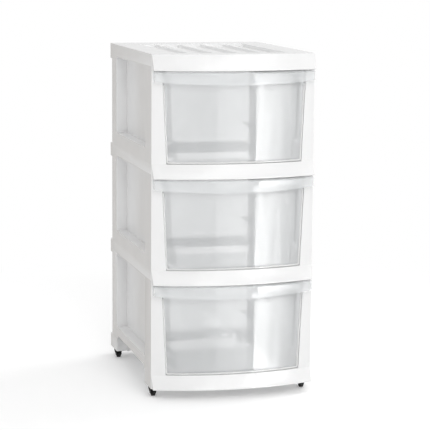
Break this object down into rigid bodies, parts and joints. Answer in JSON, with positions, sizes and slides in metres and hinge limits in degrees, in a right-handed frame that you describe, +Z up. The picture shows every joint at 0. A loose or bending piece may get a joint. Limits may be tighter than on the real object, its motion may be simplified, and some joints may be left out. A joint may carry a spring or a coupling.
{
  "type": "plastic drawer tower",
  "caption": "Upright plastic storage tower: bowed translucent drawers with pull lips slide in a white frame of stacked rings and side panels, on small black swivel castors.",
  "frame": {"origin": "on the floor, under the middle of the tower's box", "axes": "+Z up, the drawers open towards -Y, +X to the right in the front view"},
  "size_m": [0.292, 0.4, 0.604],
  "materials": {
    "white_plastic": "satin injection-moulded polypropylene",
    "clear_plastic": "translucent injection-moulded polypropylene",
    "castor_plastic": "black moulded nylon",
    "zinc_steel": "zinc plated"
  },
  "bodies": {
    "frame": {"top_panel": "white_plastic", "upper_frame": "white_plastic", "lower_frame": "white_plastic", "base_frame": "white_plastic", "left_panel_top": "white_plastic", "left_panel_middle": "white_plastic", "left_panel_bottom": "white_plastic", "right_panel_top": "white_plastic", "right_panel_middle": "white_plastic", "right_panel_bottom": "white_plastic", "castor_socket_fl": "castor_plastic", "castor_socket_fr": "castor_plastic", "castor_socket_rl": "castor_plastic", "castor_socket_rr": "castor_plastic"},
    "drawer_top": {"drawer_top": "clear_plastic"},
    "drawer_middle": {"drawer_middle": "clear_plastic"},
    "drawer_bottom": {"drawer_bottom": "clear_plastic"},
    "castor_fl": {"castor_stem_fl": "zinc_steel", "castor_fork_fl": "castor_plastic", "castor_axle_fl": "zinc_steel"},
    "wheel_fl": {"castor_wheel_fl": "castor_plastic"},
    "castor_fr": {"castor_stem_fr": "zinc_steel", "castor_fork_fr": "castor_plastic", "castor_axle_fr": "zinc_steel"},
    "wheel_fr": {"castor_wheel_fr": "castor_plastic"},
    "castor_rl": {"castor_stem_rl": "zinc_steel", "castor_fork_rl": "castor_plastic", "castor_axle_rl": "zinc_steel"},
    "wheel_rl": {"castor_wheel_rl": "castor_plastic"},
    "castor_rr": {"castor_stem_rr": "zinc_steel", "castor_fork_rr": "castor_plastic", "castor_axle_rr": "zinc_steel"},
    "wheel_rr": {"castor_wheel_rr": "castor_plastic"}
  },
  "joints": [
    {"name": "drawer_top_slide", "type": "slide", "parent": "frame", "child": "drawer_top", "axis": [0, -1, 0], "range_m": [0, 0.25]},
    {"name": "drawer_middle_slide", "type": "slide", "parent": "frame", "child": "drawer_middle", "axis": [0, -1, 0], "range_m": [0, 0.25]},
    {"name": "drawer_bottom_slide", "type": "slide", "parent": "frame", "child": "drawer_bottom", "axis": [0, -1, 0], "range_m": [0, 0.25]},
    {"name": "swivel_fl", "type": "hinge", "parent": "frame", "child": "castor_fl", "pos_m": [-0.137, -0.141, 0.0169], "axis": [0, 0, 1], "continuous": true},
    {"name": "roll_fl", "type": "hinge", "parent": "castor_fl", "child": "wheel_fl", "pos_m": [-0.137, -0.137, 0.0075], "axis": [1, 0, 0], "continuous": true},
    {"name": "swivel_fr", "type": "hinge", "parent": "frame", "child": "castor_fr", "pos_m": [0.137, -0.141, 0.0169], "axis": [0, 0, 1], "continuous": true},
    {"name": "roll_fr", "type": "hinge", "parent": "castor_fr", "child": "wheel_fr", "pos_m": [0.137, -0.137, 0.0075], "axis": [1, 0, 0], "continuous": true},
    {"name": "swivel_rl", "type": "hinge", "parent": "frame", "child": "castor_rl", "pos_m": [-0.137, 0.16, 0.0169], "axis": [0, 0, 1], "continuous": true},
    {"name": "roll_rl", "type": "hinge", "parent": "castor_rl", "child": "wheel_rl", "pos_m": [-0.137, 0.164, 0.0075], "axis": [1, 0, 0], "continuous": true},
    {"name": "swivel_rr", "type": "hinge", "parent": "frame", "child": "castor_rr", "pos_m": [0.137, 0.16, 0.0169], "axis": [0, 0, 1], "continuous": true},
    {"name": "roll_rr", "type": "hinge", "parent": "castor_rr", "child": "wheel_rr", "pos_m": [0.137, 0.164, 0.0075], "axis": [1, 0, 0], "continuous": true}
  ]
}
